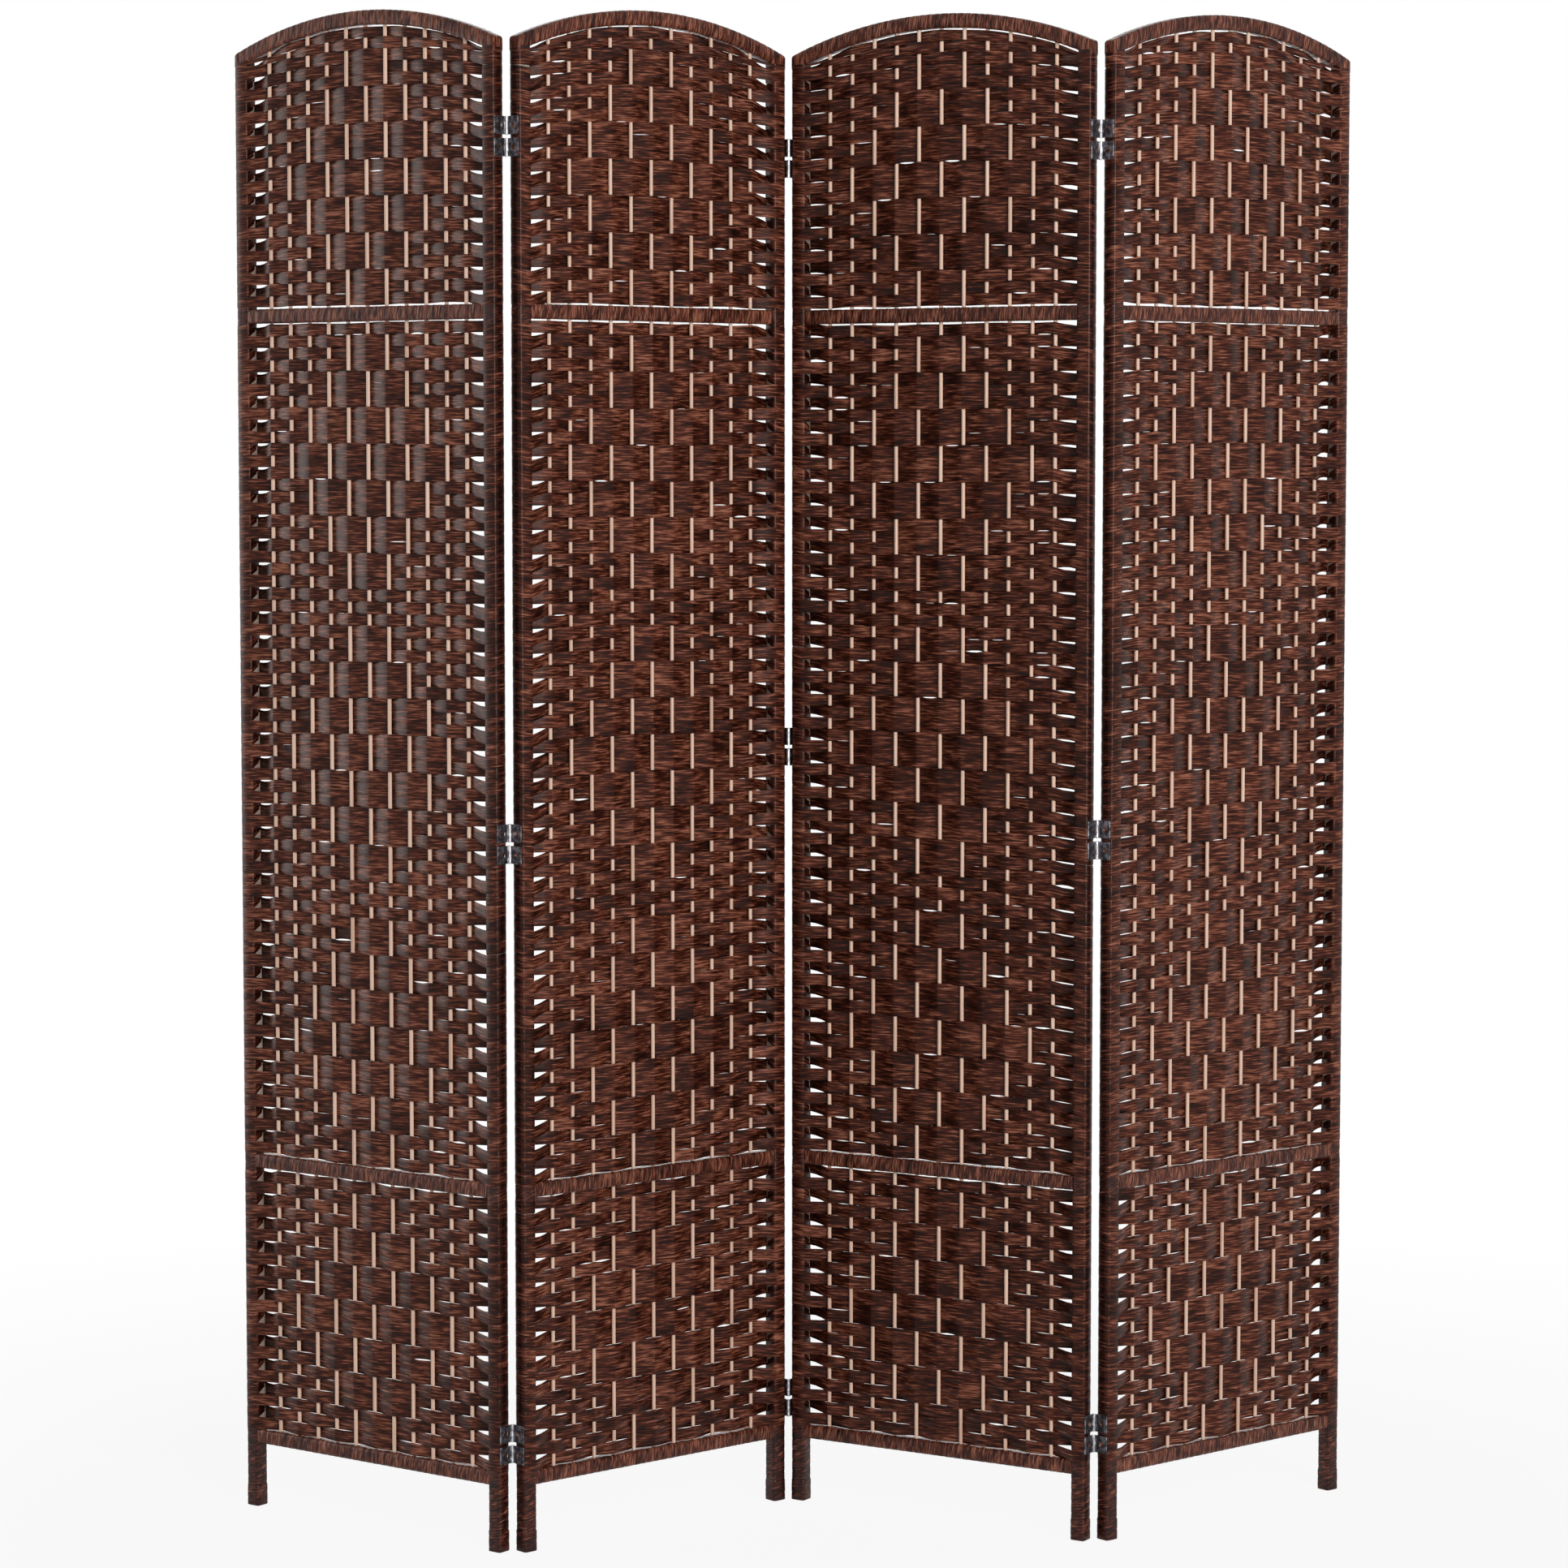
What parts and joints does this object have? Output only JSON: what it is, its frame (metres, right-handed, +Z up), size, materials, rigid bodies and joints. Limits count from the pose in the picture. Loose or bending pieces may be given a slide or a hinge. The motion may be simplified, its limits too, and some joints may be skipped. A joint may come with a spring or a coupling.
{
  "type": "folding room divider",
  "caption": "Folding screen of arched woven panels on slim posts, hinged side by side so that they stand in a zigzag or fold flat together.",
  "frame": {"origin": "on the floor, below the middle of the part's box as it stands open in its zigzag", "axes": "+Z up, +X along the row of panels to the right seen from the front, +Y from the front to the back"},
  "size_m": [1.3444, 0.3332, 1.8],
  "materials": {
    "wound_frame": "dark brown paper-fibre ribbon wound on wood",
    "woven_ribbon": "dark brown twisted-paper ribbon with fine lengthwise streaks",
    "pale_rods": "smooth pale tan rods",
    "hinge_steel": "plated steel"
  },
  "bodies": {
    "panel_1": {"panel_1_left_post": "wound_frame", "panel_1_right_post": "wound_frame", "panel_1_arch_rail": "wound_frame", "panel_1_upper_crossbar": "wound_frame", "panel_1_lower_crossbar": "wound_frame", "panel_1_bottom_rail": "wound_frame", "panel_1_rods": "pale_rods", "panel_1_upper_weave": "woven_ribbon", "panel_1_middle_weave": "woven_ribbon", "panel_1_lower_weave": "woven_ribbon", "fold_1_2_left_leaves": "hinge_steel", "fold_1_2_left_pins": "hinge_steel"},
    "panel_2": {"panel_2_left_post": "wound_frame", "panel_2_right_post": "wound_frame", "panel_2_arch_rail": "wound_frame", "panel_2_upper_crossbar": "wound_frame", "panel_2_lower_crossbar": "wound_frame", "panel_2_bottom_rail": "wound_frame", "panel_2_rods": "pale_rods", "panel_2_upper_weave": "woven_ribbon", "panel_2_middle_weave": "woven_ribbon", "panel_2_lower_weave": "woven_ribbon", "fold_1_2_right_leaves": "hinge_steel", "fold_1_2_right_pins": "hinge_steel", "fold_2_3_left_leaves": "hinge_steel", "fold_2_3_left_pins": "hinge_steel"},
    "panel_3": {"panel_3_left_post": "wound_frame", "panel_3_right_post": "wound_frame", "panel_3_arch_rail": "wound_frame", "panel_3_upper_crossbar": "wound_frame", "panel_3_lower_crossbar": "wound_frame", "panel_3_bottom_rail": "wound_frame", "panel_3_rods": "pale_rods", "panel_3_upper_weave": "woven_ribbon", "panel_3_middle_weave": "woven_ribbon", "panel_3_lower_weave": "woven_ribbon", "fold_2_3_right_leaves": "hinge_steel", "fold_2_3_right_pins": "hinge_steel", "fold_3_4_left_leaves": "hinge_steel", "fold_3_4_left_pins": "hinge_steel"},
    "panel_4": {"panel_4_left_post": "wound_frame", "panel_4_right_post": "wound_frame", "panel_4_arch_rail": "wound_frame", "panel_4_upper_crossbar": "wound_frame", "panel_4_lower_crossbar": "wound_frame", "panel_4_bottom_rail": "wound_frame", "panel_4_rods": "pale_rods", "panel_4_upper_weave": "woven_ribbon", "panel_4_middle_weave": "woven_ribbon", "panel_4_lower_weave": "woven_ribbon", "fold_3_4_right_leaves": "hinge_steel", "fold_3_4_right_pins": "hinge_steel"}
  },
  "joints": [
    {"name": "fold_1_2", "type": "hinge", "parent": "panel_2", "child": "panel_1", "pos_m": [-0.33549, -0.1511, 0], "axis": [0, 0, 1], "range_deg": [-100.4, 78.6]},
    {"name": "fold_2_3", "type": "hinge", "parent": "panel_2", "child": "panel_3", "pos_m": [-0.01, 0.101, 0], "axis": [0, 0, 1], "range_deg": [-105.5, 73.5]},
    {"name": "fold_3_4", "type": "hinge", "parent": "panel_3", "child": "panel_4", "pos_m": [0.34988, -0.09896, 0], "axis": [0, 0, 1], "range_deg": [-73.3, 105.7]}
  ]
}
